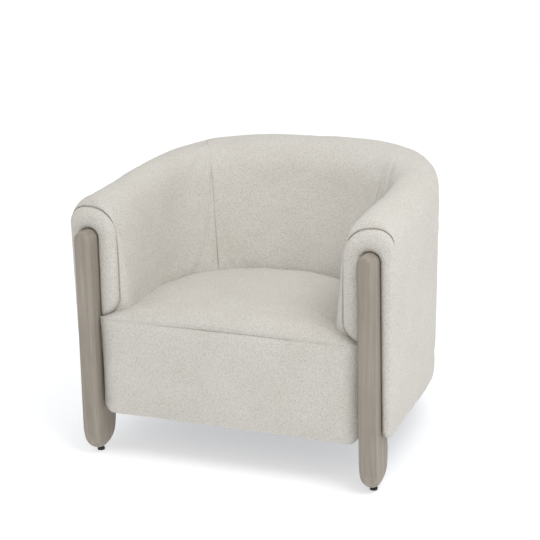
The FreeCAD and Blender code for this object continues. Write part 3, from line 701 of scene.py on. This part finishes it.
def make_seat_front():
    """The front, from the seam down to a tight roll, with its lower corners rounded off."""
    edge = seat_front_line(SEAT_COLUMNS)
    inward = edge_inward(edge)
    past = np.clip((np.abs(edge[:, 0]) - (SEAT_SIDE - SEAT_CORNER)) / SEAT_CORNER, 0, 1)
    floor = SEAT_LOW[2] + SEAT_CORNER * (1 - np.sqrt(1 - past ** 2))
    rows = []
    for t in rows_between_seams(SEAT_SEAM - SEAT_LOW[2], SEAT_FRONT_ROWS, back=False):
        z = SEAT_SEAM + (floor + UNDER_ROLL - SEAT_SEAM) * t
        rows.append(np.column_stack([pull_in(edge, inward, SEAT_SEAM - z), z]))
    for angle in np.radians(np.linspace(15, 90, SEAT_UNDER_ROWS)):
        flat = edge + inward * UNDER_ROLL * (1 - math.cos(angle))
        rows.append(np.column_stack([flat, floor + UNDER_ROLL * (1 - math.sin(angle))]))
    inside = edge + inward * UNDER_DEPTH
    rows.append(np.column_stack([inside, floor + UNDER_RISE]))
    rows.append(np.column_stack([inside, np.full(SEAT_COLUMNS, SEAT_SEAM)]))
    return seat_piece("seat_front", np.array(rows), SEAT_FRONT_SWELL)


# Materials.

def new_material(name):
    material = bpy.data.materials.new(name)
    material.use_nodes = True
    tree = material.node_tree
    return material, tree, tree.nodes["Principled BSDF"]


def add(tree, kind, inputs=None, **settings):
    """A shader node with its settings and constant inputs."""
    item = tree.nodes.new(kind)
    for name, value in settings.items():
        setattr(item, name, value)
    for name, value in (inputs or {}).items():
        item.inputs[name].default_value = value
    return item


def ramp(tree, source, stops):
    """A colour ramp over a grey value; stops are (position, colour)."""
    item = tree.nodes.new("ShaderNodeValToRGB")
    elements = item.color_ramp.elements
    elements[0].position, elements[0].color = stops[0][0], (*stops[0][1], 1)
    elements[1].position, elements[1].color = stops[-1][0], (*stops[-1][1], 1)
    for place, color in stops[1:-1]:
        elements.new(place).color = (*color, 1)
    tree.links.new(source, item.inputs["Fac"])
    return item.outputs["Color"]


def object_place(tree):
    return tree.nodes.new("ShaderNodeTexCoord").outputs["Object"]


def math_node(tree, operation, a, b):
    item = add(tree, "ShaderNodeMath", operation=operation)
    for slot, value in zip(item.inputs, (a, b)):
        if hasattr(value, "links"):
            tree.links.new(value, slot)
        else:
            slot.default_value = value
    return item.outputs[0]


def add_share(tree, value, texture, share):
    """The value plus a share of a texture's grey."""
    return math_node(tree, "ADD", value, math_node(tree, "MULTIPLY", texture.outputs["Fac"], share))


def boucle():
    """Cream boucle: small uneven loops, with painted shade in the pits between them."""
    material, tree, surface = new_material("boucle")
    link = tree.links.new
    place = object_place(tree)
    bend = add(tree, "ShaderNodeTexNoise", {"Scale": 150.0, "Detail": 2.0})
    link(place, bend.inputs["Vector"])
    shift = add(tree, "ShaderNodeVectorMath", operation="MULTIPLY_ADD")
    link(bend.outputs["Color"], shift.inputs[0])
    shift.inputs[1].default_value = (0.004, 0.004, 0.004)
    link(place, shift.inputs[2])
    loops = add(
        tree, "ShaderNodeTexVoronoi", {"Scale": 340.0, "Smoothness": 0.4}, feature="SMOOTH_F1"
    )
    link(shift.outputs[0], loops.inputs["Vector"])
    dome = math_node(tree, "SUBTRACT", 1.0, loops.outputs["Distance"])
    fibre = add(tree, "ShaderNodeTexNoise", {"Scale": 800.0, "Detail": 3.0, "Roughness": 0.7})
    link(place, fibre.inputs["Vector"])
    clump = add(tree, "ShaderNodeTexNoise", {"Scale": 95.0, "Detail": 3.0, "Roughness": 0.6})
    link(place, clump.inputs["Vector"])
    height = add_share(tree, dome, fibre, 0.4)
    height = add_share(tree, height, clump, 0.5)
    bump = add(tree, "ShaderNodeBump", {"Strength": 0.75, "Distance": 0.0014})
    link(height, bump.inputs["Height"])
    link(bump.outputs["Normal"], surface.inputs["Normal"])
    # Painted shade: the colour darkens from the tops of the loops down into the pits between them,
    # where shade falls.
    shade = ramp(tree, dome, [
        (0.30, (0.545, 0.52, 0.475)),
        (0.60, (0.635, 0.615, 0.572)),
        (0.9, (0.67, 0.652, 0.612)),
    ])
    tone = add(tree, "ShaderNodeTexNoise", {"Scale": 9.0, "Detail": 3.0})
    link(place, tone.inputs["Vector"])
    faint = [(0.3, (0.95, 0.945, 0.93)), (0.7, (1.0, 1.0, 1.0))]
    tint = ramp(tree, tone.outputs["Fac"], faint)
    mix = add(tree, "ShaderNodeMix", {"Factor": 1.0}, data_type="RGBA", blend_type="MULTIPLY")
    link(shade, mix.inputs["A"])
    link(tint, mix.inputs["B"])
    link(mix.outputs["Result"], surface.inputs["Base Color"])
    surface.inputs["Roughness"].default_value = 0.96
    surface.inputs["Specular IOR Level"].default_value = 0.12
    surface.inputs["Sheen Weight"].default_value = 0.12
    surface.inputs["Sheen Roughness"].default_value = 0.6
    return material


def oak(name, dark, light, scale=1.0):
    """Straight-grained wood, its grain along Z."""
    material, tree, surface = new_material(name)
    link = tree.links.new
    place = object_place(tree)
    stretch = add(tree, "ShaderNodeMapping")
    stretch.inputs["Scale"].default_value = (70 * scale, 70 * scale, 2.6 * scale)
    link(place, stretch.inputs["Vector"])
    grain = add(tree, "ShaderNodeTexNoise", {
        "Scale": 1.0, "Detail": 6.0, "Roughness": 0.62, "Distortion": 0.35,
    })
    link(stretch.outputs["Vector"], grain.inputs["Vector"])
    fine = add(tree, "ShaderNodeMapping")
    fine.inputs["Scale"].default_value = (520 * scale, 520 * scale, 14 * scale)
    link(place, fine.inputs["Vector"])
    pores = add(tree, "ShaderNodeTexNoise", {"Scale": 1.0, "Detail": 3.0})
    link(fine.outputs["Vector"], pores.inputs["Vector"])
    patch = add(tree, "ShaderNodeTexNoise", {"Scale": 7.0, "Detail": 2.0})
    link(place, patch.inputs["Vector"])
    value = math_node(tree, "MULTIPLY", grain.outputs["Fac"], 0.6)
    value = add_share(tree, value, pores, 0.25)
    value = add_share(tree, value, patch, 0.15)
    link(ramp(tree, value, [(0.36, dark), (0.64, light)]), surface.inputs["Base Color"])
    rough = ramp(tree, value, [(0.3, (0.74, 0.74, 0.74)), (0.7, (0.58, 0.58, 0.58))])
    link(rough, surface.inputs["Roughness"])
    bump = add(tree, "ShaderNodeBump", {"Strength": 0.35, "Distance": 0.0006})
    link(value, bump.inputs["Height"])
    link(bump.outputs["Normal"], surface.inputs["Normal"])
    return material


def woven(name, dark, light, pitch):
    """A plain flat weave of threads a pitch apart."""
    material, tree, surface = new_material(name)
    link = tree.links.new
    place = object_place(tree)
    heights = []
    threads = {"Scale": 1 / pitch / WAVE_TURN, "Distortion": 0.4}
    for axis in ("X", "Y"):
        wave = add(tree, "ShaderNodeTexWave", threads, bands_direction=axis)
        link(place, wave.inputs["Vector"])
        heights.append(wave.outputs["Fac"])
    height = math_node(tree, "MULTIPLY", *heights)
    link(ramp(tree, height, [(0.0, dark), (0.8, light)]), surface.inputs["Base Color"])
    bump = add(tree, "ShaderNodeBump", {"Strength": 0.4, "Distance": 0.0005})
    link(height, bump.inputs["Height"])
    link(bump.outputs["Normal"], surface.inputs["Normal"])
    surface.inputs["Roughness"].default_value = 0.9
    return material


def moulded(name, color, metallic=0.0, rough=0.45):
    """Plastic or metal with a slight uneven gloss."""
    material, tree, surface = new_material(name)
    link = tree.links.new
    grain = add(tree, "ShaderNodeTexNoise", {"Scale": 260.0, "Detail": 4.0})
    link(object_place(tree), grain.inputs["Vector"])
    darker = tuple(0.8 * c for c in color)
    shade = ramp(tree, grain.outputs["Fac"], [(0.3, darker), (0.7, color)])
    link(shade, surface.inputs["Base Color"])
    gloss = ramp(tree, grain.outputs["Fac"], [(0.3, (rough,) * 3), (0.7, (rough + 0.12,) * 3)])
    link(gloss, surface.inputs["Roughness"])
    surface.inputs["Metallic"].default_value = metallic
    return material


slot_materials = {
    "boucle": boucle(),
    "foam": woven("foam", (0.6, 0.55, 0.4), (0.8, 0.75, 0.6), 0.002),
    "leg_wood": oak("leg_wood", (0.235, 0.205, 0.168), (0.345, 0.307, 0.258)),
    "frame_wood": oak("frame_wood", (0.50, 0.36, 0.22), (0.70, 0.55, 0.36)),
    "plywood": oak("plywood", (0.52, 0.40, 0.26), (0.72, 0.60, 0.42), 0.6),
    "panel_board": oak("panel_board", (0.26, 0.19, 0.12), (0.36, 0.27, 0.18), 2.0),
    "spring_steel": moulded("spring_steel", (0.16, 0.16, 0.17), 1.0, 0.35),
    "fastener_steel": moulded("fastener_steel", (0.55, 0.55, 0.56), 1.0, 0.3),
    "webbing": woven("webbing", (0.03, 0.03, 0.028), (0.12, 0.115, 0.10), 0.0022),
    "deck_felt": woven("deck_felt", (0.35, 0.34, 0.32), (0.55, 0.54, 0.51), 0.003),
    "dust_cloth": woven("dust_cloth", (0.008, 0.008, 0.009), (0.03, 0.03, 0.032), 0.0016),
    "glide_plastic": moulded("glide_plastic", (0.018, 0.018, 0.018)),
}


def paint(piece, slot):
    piece.data.materials.clear()
    piece.data.materials.append(slot_materials[slot])


node_slots = {part["node"]: part["material_slot"] for part in frame["record"]["subparts"]}
for name, item in frame["nodes"].items():
    for material_slot in item.material_slots:
        material_slot.material = slot_materials[node_slots[name]]


def cover(piece, fill, *nodes):
    """A finished upholstered piece in place of its CAD solids."""
    paint(piece, "boucle")
    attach(piece, "root")
    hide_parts(*nodes)


arm_right = barrel_piece("arm_right", arm_grid(), ARM_SWELL)
arm_left = mirror_piece(arm_right, "arm_left")
cover(arm_right, 0.9, "arm_cover_right", "arm_padding_right")
cover(arm_left, 0.9, "arm_cover_left", "arm_padding_left")
front_right, front_left = make_facing()
cover(front_right, 0.8, "arm_facing_cover_right")
cover(front_left, 0.8, "arm_facing_cover_left")
cover(make_back(), 0.9, "inside_back_cover", "outside_back_cover", "back_padding")
cover(make_seat_top(), 0.85, "seat_top_cover", "seat_foam")
cover(make_seat_front(), 0.85, "seat_front_cover", "seat_front_pad")

for place, head in (("front", True), ("rear", False)):
    for side in ("left", "right"):
        node = f"{place}_leg_{side}"
        leg = make_leg(f"{place}_{side}_leg", node, head)
        paint(leg, "leg_wood")
        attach(leg, "root")
        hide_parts(node)


# Studio.

def make_floor():
    mesh = bpy.data.meshes.new("floor")
    corners = [(-1, -1), (1, -1), (1, 1), (-1, 1)]
    points = [(x * FLOOR_REACH, y * FLOOR_REACH, 0) for x, y in corners]
    mesh.from_pydata(points, [], [(0, 1, 2, 3)])
    floor = bpy.data.objects.new("floor", mesh)
    bpy.context.collection.objects.link(floor)
    material, _, surface = new_material("floor")
    surface.inputs["Base Color"].default_value = (0.70, 0.70, 0.70, 1)
    surface.inputs["Roughness"].default_value = 0.9
    surface.inputs["Specular IOR Level"].default_value = 0.0
    # Painted light: the floor glows a faint blue, which keeps it white far off and lightens the
    # shadows cast on it.
    surface.inputs["Emission Color"].default_value = (0.95, 0.97, 1.0, 1)
    surface.inputs["Emission Strength"].default_value = 0.50
    mesh.materials.append(material)


def make_light(name, place, target, size, power):
    data = bpy.data.lights.new(name, "AREA")
    data.shape = "DISK"
    data.size = size
    data.energy = power
    light = bpy.data.objects.new(name, data)
    light.location = place
    aim = Vector(target) - Vector(place)
    light.rotation_euler = aim.to_track_quat("-Z", "Y").to_euler()
    bpy.context.collection.objects.link(light)


def make_camera():
    """A camera at the front right, a little above the chair and tilted down."""
    yaw_sin, yaw_cos = math.sin(CAMERA_YAW), math.cos(CAMERA_YAW)
    pitch_sin, pitch_cos = math.sin(CAMERA_PITCH), math.cos(CAMERA_PITCH)
    level = Vector((yaw_cos, yaw_sin, 0))
    ahead = Vector((-yaw_sin * pitch_cos, yaw_cos * pitch_cos, -pitch_sin))
    upward = level.cross(ahead)
    right = level * math.cos(CAMERA_ROLL) + upward * math.sin(CAMERA_ROLL)
    top = upward * math.cos(CAMERA_ROLL) - level * math.sin(CAMERA_ROLL)
    data = bpy.data.cameras.new("camera")
    data.lens = CAMERA_LENS
    data.sensor_width = CAMERA_SENSOR
    camera = bpy.data.objects.new("camera", data)
    axes = Matrix((right, top, -ahead)).transposed().to_4x4()
    camera.matrix_world = Matrix.Translation(CAMERA_PLACE) @ axes
    bpy.context.collection.objects.link(camera)
    bpy.context.scene.camera = camera


make_floor()
make_light("key", (1.7, -1.2, 3.2), (0, 0, 0.35), 1.9, 49)
make_light("top", (-0.4, 0.3, 3.6), (0, 0, 0.3), 3.2, 6)
make_camera()
world = bpy.data.worlds.new("world")
world.use_nodes = True
backdrop = world.node_tree.nodes["Background"]
backdrop.inputs["Color"].default_value = (1, 1, 1, 1)
backdrop.inputs["Strength"].default_value = 0.75
scene = bpy.context.scene
scene.world = world
scene.view_settings.view_transform = "Standard"
scene.view_settings.look = "None"
